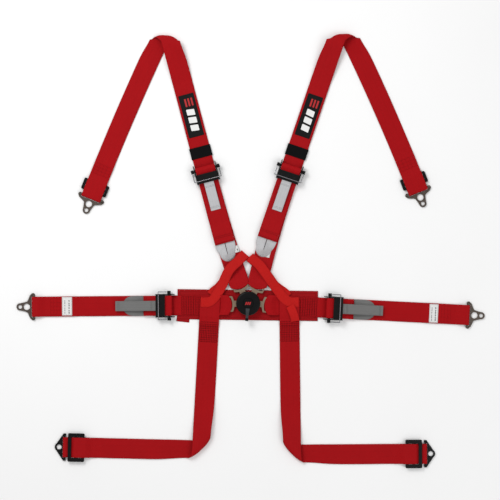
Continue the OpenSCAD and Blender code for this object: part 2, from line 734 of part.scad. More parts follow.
buckle_back_plate();
buckle_housing();
buckle_spindle();
lock_pin_carrier();
lock_pins();
carrier_spring();
turn_knob();
release_lever();
knob_badge();
lap_pad();
tongue(0);  // tongue_shoulder_left
tongue(1);  // tongue_shoulder_right
tongue(2);  // tongue_lap_left
tongue(3);  // tongue_lap_right
shoulder_lower_strap(shoulder_left_at, shoulder_left_dir, 0);  // shoulder_lower_strap_left
shoulder_lower_strap(shoulder_right_at, shoulder_right_dir, 1);  // shoulder_lower_strap_right
shoulder_upper_strap(shoulder_left_at, shoulder_left_dir, -191, shoulder_anchor_left_at,  // shoulder_upper_strap_left
    shoulder_anchor_left_dir, 336, [-226.8, 527.5]);
shoulder_upper_strap(shoulder_right_at, shoulder_right_dir, -186, shoulder_anchor_right_at,  // shoulder_upper_strap_right
    shoulder_anchor_right_dir, 345, [252, 531]);
twin_hole_anchor(shoulder_anchor_left_at, shoulder_anchor_left_dir + 180);  // shoulder_anchor_left
twin_hole_anchor(shoulder_anchor_right_at, shoulder_anchor_right_dir + 180);  // shoulder_anchor_right
shoulder_slide(shoulder_anchor_left_at, shoulder_anchor_left_dir);  // shoulder_slide_left
shoulder_slide(shoulder_anchor_right_at, shoulder_anchor_right_dir);  // shoulder_slide_right
keeper(shoulder_left_at, shoulder_left_dir);  // keeper_left
keeper(shoulder_right_at, shoulder_right_dir);  // keeper_right
lap_inner_strap(lap_left_at, lap_left_dir, -64, 2);  // lap_inner_strap_left
lap_inner_strap(lap_right_at, lap_right_dir, -61, 3);  // lap_inner_strap_right
lap_outer_strap(lap_left_at, lap_left_dir, lap_anchor_left_at);  // lap_outer_strap_left
lap_outer_strap(lap_right_at, lap_right_dir, lap_anchor_right_at);  // lap_outer_strap_right
twin_hole_anchor(lap_anchor_left_at, lap_left_dir + 180);  // lap_anchor_left
twin_hole_anchor(lap_anchor_right_at, lap_right_dir + 180);  // lap_anchor_right
adjuster(shoulder_left_at, shoulder_left_dir);  // adjuster_shoulder_left
adjuster(shoulder_right_at, shoulder_right_dir);  // adjuster_shoulder_right
adjuster(lap_left_at, lap_left_dir);  // adjuster_lap_left
adjuster(lap_right_at, lap_right_dir);  // adjuster_lap_right
lock_bar(shoulder_left_at, shoulder_left_dir);  // lock_bar_shoulder_left
lock_bar(shoulder_right_at, shoulder_right_dir);  // lock_bar_shoulder_right
lock_bar(lap_left_at, lap_left_dir);  // lock_bar_lap_left
lock_bar(lap_right_at, lap_right_dir);  // lock_bar_lap_right
spring_wire(shoulder_left_at, shoulder_left_dir);  // wire_shoulder_left
spring_wire(shoulder_right_at, shoulder_right_dir);  // wire_shoulder_right
spring_wire(lap_left_at, lap_left_dir);  // wire_lap_left
spring_wire(lap_right_at, lap_right_dir);  // wire_lap_right
release_tab(shoulder_left_at, shoulder_left_dir, 74);  // tab_shoulder_left
release_tab(shoulder_right_at, shoulder_right_dir, 80);  // tab_shoulder_right
release_tab(lap_left_at, lap_left_dir, 103);  // tab_lap_left
release_tab(lap_right_at, lap_right_dir, 103);  // tab_lap_right
finger_loop(shoulder_left_at, shoulder_left_dir, -176, 62, shoulder_lift + 0.7);  // finger_loop_shoulder_left
finger_loop(shoulder_right_at, shoulder_right_dir, -171, 62, shoulder_lift + 0.7);  // finger_loop_shoulder_right
finger_loop(lap_left_at, lap_left_dir, -66, 50, 0);  // finger_loop_lap_left
finger_loop(lap_right_at, lap_right_dir, -66, 50, 0);  // finger_loop_lap_right
leg_strap([-99, -122], [-120, -501], leg_anchor_left_at, 1);  // leg_strap_left
leg_strap([98, -120], [102.5, -511.5], leg_anchor_right_at, -1);  // leg_strap_right
leg_ribbon([  // leg_ribbon_left
  [-123, -130, 7.6, 90], [-100, -129, 7.6, 96], [-84, -112, 7.8, 148], [-70, -88, 9, 156],
  [-52, -50, 14, 145], [-30, -28, 12, 138], [-15, -12.3, 9, 138], [-12, -9.3, 5, 138],
  [-17, -14.3, 1, 138], [-32, -31, 1, 139], [-50, -52, 1, 146], [-62, -74, 1.4, 150],
  [-76, -92, 3.9, 146], [-89, -103, 4.7, 142], [-97, -113, 4.7, 140]
]);
leg_ribbon([  // leg_ribbon_right
  [122, -130, 7.6, 90], [100, -130, 7.6, 84], [83, -118, 7.6, 40], [66, -96, 9, 36],
  [42, -62, 14, 40], [22, -36, 12, 42], [2, -20, 9, 42], [-1, -17, 5, 42],
  [3, -21, 1, 42], [22, -38, 1, 42], [40, -62, 1, 40], [54, -82, 1.5, 40],
  [72, -97, 4.1, 44], [87, -108, 4.74, 48], [95, -118, 4.7, 50]
]);
leg_slide(leg_anchor_left_at, leg_left_dir);  // leg_slide_left
leg_slide(leg_anchor_right_at, leg_right_dir);  // leg_slide_right
leg_anchor(leg_anchor_left_at, leg_left_dir + 180);  // leg_anchor_left
leg_anchor(leg_anchor_right_at, leg_right_dir + 180);  // leg_anchor_right
sewn_patches();
sewn_labels();
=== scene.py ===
"""Looks of a racing harness laid out flat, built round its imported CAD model.

Lengths in this file are millimetres, turned into metres when a mesh is made.
Every strap follows the same route as its CAD solid, as woven webbing with real layers.
"""
import math

import bpy
from mathutils import Matrix, Vector


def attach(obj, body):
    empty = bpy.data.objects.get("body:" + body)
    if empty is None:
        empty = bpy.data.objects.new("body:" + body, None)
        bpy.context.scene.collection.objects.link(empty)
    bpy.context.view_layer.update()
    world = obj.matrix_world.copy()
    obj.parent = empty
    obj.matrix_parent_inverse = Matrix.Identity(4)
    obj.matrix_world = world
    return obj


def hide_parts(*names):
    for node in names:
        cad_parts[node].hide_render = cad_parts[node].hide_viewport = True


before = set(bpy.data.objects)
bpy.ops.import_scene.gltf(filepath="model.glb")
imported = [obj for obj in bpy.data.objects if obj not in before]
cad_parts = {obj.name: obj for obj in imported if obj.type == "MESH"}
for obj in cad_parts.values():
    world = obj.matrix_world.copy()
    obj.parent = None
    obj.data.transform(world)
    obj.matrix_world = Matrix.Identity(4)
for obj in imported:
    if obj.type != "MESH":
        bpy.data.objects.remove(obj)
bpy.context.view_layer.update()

MM = 0.001
HARNESS = "harness"

# ---- sizes shared with the CAD source ----------------------------------------------------
WEB_W, WEB_T = 50.0, 1.6
RIBBON_W, RIBBON_T = 25.0, 1.0
GAP = 0.1
# Heights of the middle of the first, second and third layer of webbing on the floor.
LOW = GAP + WEB_T / 2
SECOND = LOW + WEB_T + GAP
THIRD = SECOND + WEB_T + GAP
LIFT = 1.6  # how much higher the shoulder straps lie near the buckle
PAD_TOP = 2.4
PAD_LEN, PAD_W = 351.0, 75.0
# The lane through an adjuster, then the roll of webbing round its lock bar.
LANE = 2.2
ROLL_R = 3.8 + 0.3 + WEB_T / 2
MID = LANE + 4.8
# Bars of an adjuster, as places along it, with heights where a strap needs them.
END_BAR = (-30.5, LANE + 3)
BASE_BAR_X = -20.0
TAB_BAR = (-31.0, 14.2)
TAB_BAR_R = 1.6
HEAD_Z = 20.8
BUCKLE = (-4.5, -133.0)
LEVER_DIR = -95
PIN_R = 17.0
TONGUE_REACH = 25.0
TONGUE_Z, TONGUE_T = 6.4, 3.0
TOP_Z = TONGUE_Z + TONGUE_T + GAP + WEB_T / 2
UNDER_Z = TONGUE_Z - GAP - WEB_T / 2
FOLD_R = 8.0  # where a shoulder strap turns back
LEG_FOLD_R = 6.0

# Places on the floor plan with X to the right and Y up the harness; directions in degrees.
SHOULDER_L, SHOULDER_L_DIR = (-111.5, 202.0), 104.8
SHOULDER_R, SHOULDER_R_DIR = (102.6, 203.5), 71.2
LAP_L, LAP_L_DIR = (-201.8, -138.8), 0.6
LAP_R, LAP_R_DIR = (198.0, -145.0), 177.1
ANCHOR_SL, ANCHOR_SL_DIR = (-396.5, 131.3), 68.5
ANCHOR_SR, ANCHOR_SR_DIR = (419.5, 147.6), 111.5
ANCHOR_LL = (-540.3, -141.8)
ANCHOR_LR = (543.5, -162.5)
LEG_L = (-463.4, -492.5)
LEG_R = (438.1, -509.0)
# For each tongue: the direction from the buckle to its pin, then along the tongue.
TONGUES = [(120, 112), (60, 62), (180, 184), (0, -8)]


# ---- small helpers -----------------------------------------------------------------------
def cosd(a):
    return math.cos(math.radians(a))


def sind(a):
    return math.sin(math.radians(a))


def smooth(t):
    t = max(0.0, min(1.0, t))
    return t * t * (3 - 2 * t)


def left_of(a):
    return Vector((-sind(a), cosd(a), 0))


def away(at, angle, distance):
    return (at[0] + distance * cosd(angle), at[1] + distance * sind(angle))


def heading(a, b):
    return math.degrees(math.atan2(b[1] - a[1], b[0] - a[0]))


STIFF_SPOTS = [BUCKLE, SHOULDER_L, SHOULDER_R, LAP_L, LAP_R, ANCHOR_SL, ANCHOR_SR,
               ANCHOR_LL, ANCHOR_LR, LEG_L, LEG_R, (-205, 527), (230, 530), (-118, -500),
               (102, -510), (-20, -20)]


def lie(x, y):
    """How far cloth stands off where it lies, the same for every layer at that place."""
    calm = 1.0
    for sx, sy in STIFF_SPOTS:
        calm *= smooth((math.hypot(x - sx, y - sy) - 55) / 60)
    return calm * (0.55 + 0.3 * math.sin(x / 21 + 1.4 * math.sin(y / 33))
                   + 0.25 * math.sin(y / 27 + x / 57))


# ---- routes ------------------------------------------------------------------------------
def corner(a, b, c, r):
    """Points of an arc of radius r that rounds the corner at b."""
    d1 = Vector((b[0] - a[0], b[1] - a[1])).normalized()
    d2 = Vector((c[0] - b[0], c[1] - b[1])).normalized()
    turn = math.degrees(math.atan2(d1.x * d2.y - d1.y * d2.x, d1.dot(d2)))
    side = 1 if turn > 0 else -1 if turn < 0 else 0
    back = r * math.tan(math.radians(abs(turn) / 2))
    middle = Vector((b[0], b[1])) - d1 * back + Vector((-d1.y, d1.x)) * r * side
    spoke = Vector((d1.y, -d1.x)) * r * side
    steps = max(1, math.ceil(abs(turn) / 12))
    points = []
    for k in range(steps + 1):
        t = turn * k / steps
        points.append((middle.x + spoke.x * cosd(t) - spoke.y * sind(t),
                       middle.y + spoke.x * sind(t) + spoke.y * cosd(t)))
    return points


def rounded_path(p):
    """A side path through (u, z, radius) points with each corner rounded."""
    path = [tuple(p[0][:2])]
    for i in range(1, len(p) - 1):
        path += corner(p[i - 1], p[i], p[i + 1], p[i][2])
    return path + [tuple(p[-1][:2])]


def plan(at, angle, bend, u):
    """Where a strap is after length u, when its heading turns by bend degrees a mm."""
    if abs(bend) < 1e-5:
        return away(at, angle, u)
    r = 180 / math.pi / bend
    return (at[0] + r * (sind(angle + bend * u) - sind(angle)),
            at[1] + r * (cosd(angle) - cosd(angle + bend * u)))


def fine(path, step):
    """The same path with points no farther apart than step."""
    points = [path[0]]
    for a, b in zip(path, path[1:]):
        n = max(1, math.ceil(math.dist(a, b) / step))
        points += [(a[0] + (b[0] - a[0]) * k / n, a[1] + (b[1] - a[1]) * k / n)
                   for k in range(1, n + 1)]
    return [p for i, p in enumerate(points) if i == 0 or math.dist(p, points[i - 1]) > 1e-4]


def station(point, across, normal, ahead=Vector((0, 0, 0)), u=0.0):
    return {"p": Vector(point), "across": across, "n": normal, "ahead": ahead, "u": u}


def lane(path, at, angle, bend=0.0, step=5.0):
    """Stations of a strap that follows a side path of (u, z) points over the floor plan."""
    path = fine(path, step)
    out = []
    for i, p in enumerate(path):
        a, b = path[max(0, i - 1)], path[min(len(path) - 1, i + 1)]
        d = Vector((b[0] - a[0], b[1] - a[1])).normalized()
        h = angle + bend * p[0]
        x, y = plan(at, angle, bend, p[0])
        across = left_of(h)
        tangent = Vector((d.x * cosd(h), d.x * sind(h), d.y))
        out.append(station((x, y, p[1]), across, tangent.cross(across),
                           Vector((cosd(h), sind(h), 0)), p[0]))
    return out


def free_stations(p, steps=6):
    """Stations through given points (x, y, z, direction of the across line)."""
    s = []
    for i in range(len(p) - 1):
        a, b = p[max(0, i - 1)], p[i]
        c, d = p[i + 1], p[min(len(p) - 1, i + 2)]
        for k in range(steps):
            t = k / steps
            s.append([0.5 * (2 * b[j] + (c[j] - a[j]) * t
                             + (2 * a[j] - 5 * b[j] + 4 * c[j] - d[j]) * t * t
                             + (3 * b[j] - a[j] - 3 * c[j] + d[j]) * t ** 3) for j in range(4)])
    s.append(list(p[-1]))
    out = []
    for i, q in enumerate(s):
        a, b = s[max(0, i - 1)], s[min(len(s) - 1, i + 1)]
        tangent = Vector((b[0] - a[0], b[1] - a[1], b[2] - a[2])).normalized()
        across = Vector((cosd(q[3]), sind(q[3]), 0))
        out.append(station(q[:3], across, tangent.cross(across).normalized()))
    return out


# ---- meshes ------------------------------------------------------------------------------
def columns(width, n):
    """Places across a strap, with a narrow column at each edge."""
    half = width / 2
    inner = [-half + 1.0 + (width - 2.0) * k / n for k in range(n + 1)]
    return [-half] + inner + [half]


def rows_of(stations, width, n=8, warp=None):
    """Rows of (w, point, normal) across a strap, with the arc length of each row."""
    rows, v = [], 0.0
    for i, s in enumerate(stations):
        if i:
            v += (s["p"] - stations[i - 1]["p"]).length
        row = []
        for w in columns(width, n):
            back = warp(s["u"], w) if warp else 0.0
            row.append((w, s["p"] + s["across"] * w - s["ahead"] * back, s["n"]))
        rows.append((v, row))
    return rows


def new_object(name, verts, faces, mats, uvs=None, face_mats=None):
    """A smooth mesh object from millimetre points."""
    mesh = bpy.data.meshes.new(name)
    mesh.from_pydata([tuple(c * MM for c in v) for v in verts], [], faces)
    for m in mats:
        mesh.materials.append(m)
    if uvs:
        layer = mesh.uv_layers.new(name="UVMap")
        for loop in mesh.loops:
            layer.data[loop.index].uv = uvs[loop.vertex_index]
    for p in mesh.polygons:
        p.use_smooth = True
        if face_mats:
            p.material_index = face_mats[p.index]
    mesh.update()
    obj = bpy.data.objects.new(name, mesh)
    bpy.context.scene.collection.objects.link(obj)
    return obj


def slab(name, rows, thick, mat, wavy=True):
    """A closed band of cloth with thinner rounded edges round a grid of rows."""
    cols = len(rows[0][1])
    verts, uvs = [], []
    for side in (1, -1):
        for v, row in rows:
            for j, (w, p, n) in enumerate(row):
                half = thick / 2 * (0.45 if j in (0, cols - 1) else 1.0)
                q = p + n * half * side
                if wavy:
                    q = q + Vector((0, 0, lie(p.x, p.y)))
                verts.append(q)
                uvs.append((w * MM, v * MM))
    count = len(rows) * cols
    faces = []
    for i in range(len(rows) - 1):
        for j in range(cols - 1):
            a = i * cols + j
            faces.append((a, a + 1, a + cols + 1, a + cols))
            faces.append(tuple(count + k for k in (a, a + cols, a + cols + 1, a + 1)))
    rim = (list(range(cols)) + [i * cols + cols - 1 for i in range(1, len(rows))]
           + [(len(rows) - 1) * cols + j for j in range(cols - 2, -1, -1)]
           + [i * cols for i in range(len(rows) - 2, 0, -1)])
    for a, b in zip(rim, rim[1:] + rim[:1]):
        faces.append((b, a, a + count, b + count))
    top = faces[0]
    facing = (verts[top[1]] - verts[top[0]]).cross(verts[top[3]] - verts[top[0]])
    if facing.dot(rows[0][1][0][2]) < 0:
        faces = [tuple(reversed(f)) for f in faces]
    return new_object(name, verts, faces, [mat], uvs)


def strap(name, stations, mat, node, width=WEB_W, thick=WEB_T, n=8, warp=None, wavy=True,
          body=HARNESS):
    rows = rows_of(stations, width, n, warp)
    obj = slab(name, rows, thick, mat, wavy)
    return declare(obj, node, body)


def declare(obj, node, body=HARNESS):
    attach(obj, body)
    if node:
        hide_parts(node)
    return obj


# ---- materials ---------------------------------------------------------------------------
class Nodes:
    """A material's node tree with short calls for its nodes."""

    def __init__(self, name):
        self.mat = bpy.data.materials.new(name)
        self.mat.use_nodes = True
        self.tree = self.mat.node_tree
        self.shader = self.tree.nodes["Principled BSDF"]

    def add(self, kind, **values):
        node = self.tree.nodes.new(kind)
        for key, value in values.items():
            if hasattr(node, key):
                setattr(node, key, value)
            else:
                node.inputs[key].default_value = value
        return node

    def link(self, a, b):
        self.tree.links.new(a, b)

    def math(self, operation, a, b=None, c=None, clamp=False):
        node = self.add("ShaderNodeMath", operation=operation, use_clamp=clamp)
        for i, x in enumerate((a, b, c)):
            if x is None:
                continue
            if isinstance(x, (int, float)):
                node.inputs[i].default_value = x
            else:
                self.link(x, node.inputs[i])
        return node.outputs[0]

    def mix(self, factor, a, b):
        node = self.add("ShaderNodeMix", data_type="RGBA")
        for socket, x in ((node.inputs[0], factor), (node.inputs[6], a), (node.inputs[7], b)):
            if isinstance(x, (tuple, float, int)):
                socket.default_value = (*x, 1) if isinstance(x, tuple) else x
            else:
                self.link(x, socket)
        return node.outputs[2]

    def noise(self, vector, scale, detail=3.0, rough=0.55):
        node = self.add("ShaderNodeTexNoise")
        node.inputs["Scale"].default_value = scale
        node.inputs["Detail"].default_value = detail
        node.inputs["Roughness"].default_value = rough
        self.link(vector, node.inputs["Vector"])
        return node.outputs["Fac"]

    def object_space(self):
        return self.add("ShaderNodeTexCoord").outputs["Object"]

    def bump(self, height, strength, distance):
        node = self.add("ShaderNodeBump")
        node.inputs["Strength"].default_value = strength
        node.inputs["Distance"].default_value = distance
        self.link(height, node.inputs["Height"])
        self.link(node.outputs[0], self.shader.inputs["Normal"])

    def constant(self, **values):
        for key, value in values.items():
            self.shader.inputs[key.replace("_", " ")].default_value = value


def woven(name, base, dark, width, warp=1.5, weft=0.9, rough=0.62, specular=0.07,
          lines=(), line_tint=0.22, depth=0.5):
    """Woven band: ribs along it, picks across it with painted shade in their valleys, a selvedge
    and faint woven lines.
    """
    m = Nodes(name)
    uv = m.add("ShaderNodeUVMap", uv_map="UVMap").outputs[0]
    split = m.add("ShaderNodeSeparateXYZ")
    m.link(uv, split.inputs[0])
    x, y = split.outputs[0], split.outputs[1]
    turns = 2 * math.pi / MM
    twill = m.math("ADD", m.math("MULTIPLY", x, turns / warp),
                   m.math("MULTIPLY", y, turns / (warp * 2.6)))
    rib = m.math("SINE", twill)
    pick = m.math("SINE", m.math("MULTIPLY", y, turns / weft))
    height = m.math("MULTIPLY_ADD", pick, 0.35, rib)
    # Painted shade: this mask darkens the colour where the weave lies low, in the valleys between
    # ribs and picks.
    valley_shade = m.math("MULTIPLY_ADD", height, -0.37, 0.5, clamp=True)
    place = m.object_space()
    cloudy = m.noise(place, 22.0, 4.0)
    speck = m.noise(place, 900.0, 2.0)
    shade = m.mix(m.math("MULTIPLY", valley_shade, 0.45), base, dark)
    drift = m.math("MULTIPLY_ADD", cloudy, 0.9, -0.28, clamp=True)
    shade = m.mix(m.math("MULTIPLY", drift, 0.35), shade, dark)
    side = m.math("ABSOLUTE", x)
    selvedge = m.math("MULTIPLY_ADD", side, 1 / (0.9 * MM), -(width / 2 - 1.6) / 0.9, clamp=True)
    shade = m.mix(m.math("MULTIPLY", selvedge, 0.4), shade, dark)
    for at in lines:
        near = m.math("ABSOLUTE", m.math("SUBTRACT", side, at * MM))
        on = m.math("MULTIPLY_ADD", near, -1 / (0.9 * MM), 1.0, clamp=True)
        shade = m.mix(m.math("MULTIPLY", on, line_tint), shade, dark)
    m.link(shade, m.shader.inputs["Base Color"])
    m.link(m.math("MULTIPLY_ADD", speck, 0.18, rough - 0.09), m.shader.inputs["Roughness"])
    m.constant(Specular_IOR_Level=specular)
    soft = m.math("MULTIPLY_ADD", cloudy, 1.2, height)
    m.bump(soft, depth, 0.25 * MM)
    return m.mat


def metal(name, base, worn, rough, metallic=1.0, grain=(60, 60, 60), depth=0.15, coat=0.0,
          specular=0.5):
    """Metal or coated metal with cloudy tone, fine scratches and rubbed places."""
    m = Nodes(name)
    place = m.object_space()
    mapping = m.add("ShaderNodeMapping")
    mapping.inputs["Scale"].default_value = grain
    m.link(place, mapping.inputs["Vector"])
    fine_grain = m.noise(mapping.outputs[0], 14.0, 6.0, 0.7)
    cloud = m.noise(place, 55.0, 3.0)
    rub = m.noise(place, 160.0, 5.0, 0.7)
    worn_at = m.math("MULTIPLY_ADD", rub, 4.5, -2.5, clamp=True)
    shade = m.mix(m.math("MULTIPLY", cloud, 0.5), base, tuple(c * 0.7 for c in base))
    shade = m.mix(m.math("MULTIPLY", worn_at, 0.5), shade, worn)
    m.link(shade, m.shader.inputs["Base Color"])
    m.link(m.math("MULTIPLY_ADD", fine_grain, 0.22, rough - 0.11), m.shader.inputs["Roughness"])
    m.constant(Metallic=metallic, Coat_Weight=coat, Coat_Roughness=0.25,
               Specular_IOR_Level=specular)
    m.bump(fine_grain, depth, 0.05 * MM)
    return m.mat


def moulded(name, base, light, rough, specular=0.35, scale=700.0, depth=0.25):
    """Moulded plastic or rubber with fine grain and dusty scuffs."""
    m = Nodes(name)
    place = m.object_space()
    grain = m.noise(place, scale, 3.0, 0.6)
    scuff = m.noise(place, 45.0, 6.0, 0.75)
    on = m.math("MULTIPLY_ADD", scuff, 3.0, -1.6, clamp=True)
    shade = m.mix(m.math("MULTIPLY", on, 0.35), base, light)
    m.link(shade, m.shader.inputs["Base Color"])
    m.link(m.math("MULTIPLY_ADD", scuff, 0.25, rough - 0.12), m.shader.inputs["Roughness"])
    m.constant(Specular_IOR_Level=specular)
    m.bump(grain, depth, 0.08 * MM)
    return m.mat


RED = (0.405, 0.0040, 0.0068)
RED_DARK = (0.215, 0.0030, 0.0050)
WEBBING = woven("webbing", RED, RED_DARK, WEB_W, lines=(7.0, 19.5))
PAD_CLOTH = woven("pad_cloth", (0.350, 0.0060, 0.0085), RED_DARK, PAD_W, warp=1.1, weft=0.8)
RED_RIBBON = woven("red_ribbon", (0.560, 0.0130, 0.0110), (0.300, 0.0050, 0.0060), RIBBON_W,
                   warp=1.0, weft=0.7, lines=(9.5,))
GREY_RIBBON = woven("grey_ribbon", (0.600, 0.600, 0.615), (0.300, 0.300, 0.310), RIBBON_W,
                    warp=0.9, weft=0.7, rough=0.5, specular=0.35, lines=(3.5, 9.0))
LAP_RIBBON = woven("lap_ribbon", (0.190, 0.190, 0.186), (0.110, 0.110, 0.108), RIBBON_W,
                   warp=0.9, weft=0.7, rough=0.5, specular=0.2, lines=(3.5, 9.0))
ELASTIC = woven("elastic", (0.0050, 0.0050, 0.0055), (0.002, 0.002, 0.002), 28.0, warp=1.3,
                weft=1.0, rough=0.7, specular=0.05)
LABEL_CLOTH = woven("label_cloth", (0.80, 0.80, 0.79), (0.52, 0.52, 0.52), 60.0, warp=0.5,
                    weft=0.5, rough=0.5, specular=0.3, depth=0.15)
TONGUE = metal("tongue_steel", (0.300, 0.225, 0.160), (0.42, 0.36, 0.30), 0.40)
ANCHOR = metal("anchor_steel", (0.105, 0.085, 0.072), (0.22, 0.19, 0.165), 0.45)
BLACK_STEEL = metal("black_steel", (0.0034, 0.0034, 0.0036), (0.022, 0.022, 0.022), 0.36,
                    metallic=0.0, coat=0.03, specular=0.13)
CHROME = metal("bright_steel", (0.34, 0.34, 0.36), (0.22, 0.22, 0.23), 0.22,
               grain=(30, 30, 30))
BLACK_PLASTIC = moulded("black_plastic", (0.0034, 0.0036, 0.0038), (0.014, 0.014, 0.015), 0.42,
                        specular=0.10)
GREY_PLASTIC = moulded("grey_plastic", (0.030, 0.032, 0.036), (0.060, 0.060, 0.062), 0.40,
                       specular=0.3)
RUBBER = moulded("patch_rubber", (0.0045, 0.0045, 0.0048), (0.018, 0.018, 0.018), 0.5,
                 specular=0.12)
MARK_RED = moulded("mark_red", (0.42, 0.012, 0.014), (0.25, 0.01, 0.01), 0.5)
MARK_DARK = moulded("mark_dark", (0.035, 0.035, 0.04), (0.07, 0.07, 0.07), 0.6)
MARK_WHITE = moulded("mark_white", (0.78, 0.78, 0.77), (0.6, 0.6, 0.6), 0.5)
THREAD_DARK = woven("thread_dark", (0.022, 0.0020, 0.0030), (0.010, 0.001, 0.002), 1.0,
                    warp=0.6, weft=0.3, depth=0.2)
THREAD_GREY = woven("thread_grey", (0.060, 0.060, 0.062), (0.03, 0.03, 0.03), 1.0, warp=0.6,
                    weft=0.3, depth=0.2)
THREAD_RED = woven("thread_red", (0.270, 0.0050, 0.0070), RED_DARK, 1.0, warp=0.6, weft=0.3,
                   depth=0.2)


# ---- sewing ------------------------------------------------------------------------------
def thread(name, lines, mat, body=HARNESS, pitch=4.0, width=0.7, wavy=True):
    """Stitches along lines of (x, y, z) points on top of a surface."""
    verts, faces = [], []
    for line in lines:
        line = [Vector(p) for p in line]
        total = sum((b - a).length for a, b in zip(line, line[1:]))
        count = max(1, round(total / pitch))
        marks = [total * k / count for k in range(count + 1)]
        places, run, k = [], 0.0, 0
        for a, b in zip(line, line[1:]):
            length = (b - a).length
            while k <= count and marks[k] <= run + length + 1e-6:
                places.append(a + (b - a) * max(0.0, (marks[k] - run) / max(length, 1e-6)))
                k += 1
            run += length
        for a, b in zip(places, places[1:]):
            d = (b - a).normalized()
            side = d.cross(Vector((0, 0, 1))).normalized() * width / 2
            a, b = a + d * 0.45, b - d * 0.45
            up = Vector((0, 0, lie((a.x + b.x) / 2, (a.y + b.y) / 2) if wavy else 0.0))
            m = (a + b) / 2 + up
            base = len(verts)
            third = (b - a) / 3.2
            verts += [a + up, b + up, m + side + third, m + side - third, m - side - third,
                      m - side + third, m + Vector((0, 0, width * 0.55)) + third * 0.8,
                      m + Vector((0, 0, width * 0.55)) - third * 0.8,
                      m - Vector((0, 0, width * 0.3))]
            for f in ((6, 2, 1), (1, 5, 6), (2, 6, 7), (2, 7, 3), (3, 7, 0), (0, 7, 4),
                      (4, 7, 6), (4, 6, 5), (8, 1, 2), (8, 2, 3), (8, 3, 0), (8, 0, 4),
                      (8, 4, 5), (8, 5, 1)):
                faces.append(tuple(base + i for i in f))
    uvs = [(v.x * MM, v.y * MM) for v in verts]
    obj = new_object(name, verts, faces, [mat], uvs)
    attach(obj, body)
    return obj


def on_strap(at, angle, z, bend=0.0):
    """A function that places a point at u along and w across a strap's plan line."""
    def place(u, w):
        x, y = plan(at, angle, bend, u)
        side = left_of(angle + bend * u)
        return (x + side.x * w, y + side.y * w, z(u) if callable(z) else z)
    return place


def sewn_line(place, a, b, n=6):
    """Points from a to b, which are (u, w) places on a strap."""
    return [place(a[0] + (b[0] - a[0]) * k / n, a[1] + (b[1] - a[1]) * k / n)
            for k in range(n + 1)]


def sewn_box(place, u0, u1, half, rows=7, ties=5):
    """Box stitching: an outline, rows along the strap and ties across it."""
    lines = []
    for k in range(rows):
        w = -half + 2 * half * k / (rows - 1)
        lines.append(sewn_line(place, (u0, w), (u1, w)))
    for k in range(ties):
        u = u0 + (u1 - u0) * k / (ties - 1)
        lines.append(sewn_line(place, (u, -half), (u, half)))
    return lines


# ---- webbing -----------------------------------------------------------------------------
def soften_fold(obj, edge, out, half, depth=10.0):
    """Draws the two ends of a folded edge inwards, as webbing bulges there."""
    out = Vector((out.x, out.y, 0)).normalized()
    along = Vector((-out.y, out.x, 0))
    for v in obj.data.vertices:
        p = v.co / MM
        d = Vector((p.x - edge[0], p.y - edge[1], 0))
        far = max(0.0, (abs(d.dot(along)) - half * 0.22) / (half * 0.78))
        near = math.exp(-(d.dot(out) / 38) ** 2)
        v.co -= out * (depth * min(1.2, far) ** 2 * near * MM)


def tongue_end(k):
    """Where the strap of tongue k turns back round the bar of its slot."""
    pin = away(BUCKLE, TONGUES[k][0], PIN_R)
    return away(pin, TONGUES[k][1], TONGUE_REACH)


def round_end(length):
    """The strap's end draws back towards its edges, round a tongue's arc."""
    def warp(u, w):
        return (36 - math.sqrt(36 ** 2 - w ** 2)) * smooth((u - (length - 62)) / 46)
    return warp


def fixed_end(sewn, lift):
    """A side path round an adjuster's end bar, sewn down at the given distance."""
    z = END_BAR[1]
    return [(sewn, LOW + lift, 0), (14, LOW + lift, 8), (4, z - 2.7, 3), (-2.7, z - 2.7, 2.69),
            (-2.7, z + 2.7, 2.69), (1, z + 2.7, 3), (13, SECOND + lift, 6),
            (sewn + 5, SECOND + lift, 6)]


def through_adjuster(tail):
    """A side path from a free tail over the lock bar and under the adjuster."""
    return tail + [
        (-34, 9.9, 4), (-26, 10.6, 4), (-10, 13.2, 6), (-1, MID + 2 * ROLL_R, 3),
        (2.3 + ROLL_R, MID + 2 * ROLL_R, ROLL_R - 0.01), (2.3 + ROLL_R, MID, ROLL_R - 0.01),
        (BASE_BAR_X - 2.4, MID, 2.39), (BASE_BAR_X - 2.4, LANE, 2.39)]


def long_tail(end):
    z = THIRD + LIFT
    return [(end, z + 3.3, 0), (end + 27, z + 3.3, 10), (end + 50, z, 10), (-56, z + 0.3, 6)]


def short_tail(end):
    return [(end, THIRD + 2.7, 0), (-41, THIRD + 2.7, 5)]


def lower_strap(side, at, angle, k):
    start = away(at, angle, END_BAR[0])
    finish = tongue_end(k)
    length = math.dist(start, finish)
    chord = heading(start, finish)
    turn = (angle + 180 - chord + 540) % 360 - 180
    bend = -2 * turn / length
    path = rounded_path(fixed_end(length - 60, LIFT) + [
        (length - 42, SECOND + LIFT, 20), (length - 16, TOP_Z, 14), (length + 1, TOP_Z, 2),
        (length + 1, UNDER_Z, 2), (length - 16, UNDER_Z, 14), (length - 38, LOW + LIFT, 8),
        (length - 58, LOW + LIFT, 0)])
    name = f"shoulder_lower_webbing_{side}"
    strap(name, lane(path, start, chord + turn, bend), WEBBING, f"shoulder_lower_strap_{side}",
          warp=round_end(length))
    place = on_strap(start, chord + turn, lambda u: SECOND + LIFT + WEB_T / 2
                     + (TOP_Z - SECOND - LIFT) * smooth((u - length + 44) / 30), bend)
    lines = [sewn_line(place, (length - 40 - 5 * i, -20), (length - 40 - 5 * i, 20))
             for i in range(3)]
    thread(f"shoulder_tongue_stitches_{side}", lines, THREAD_RED)


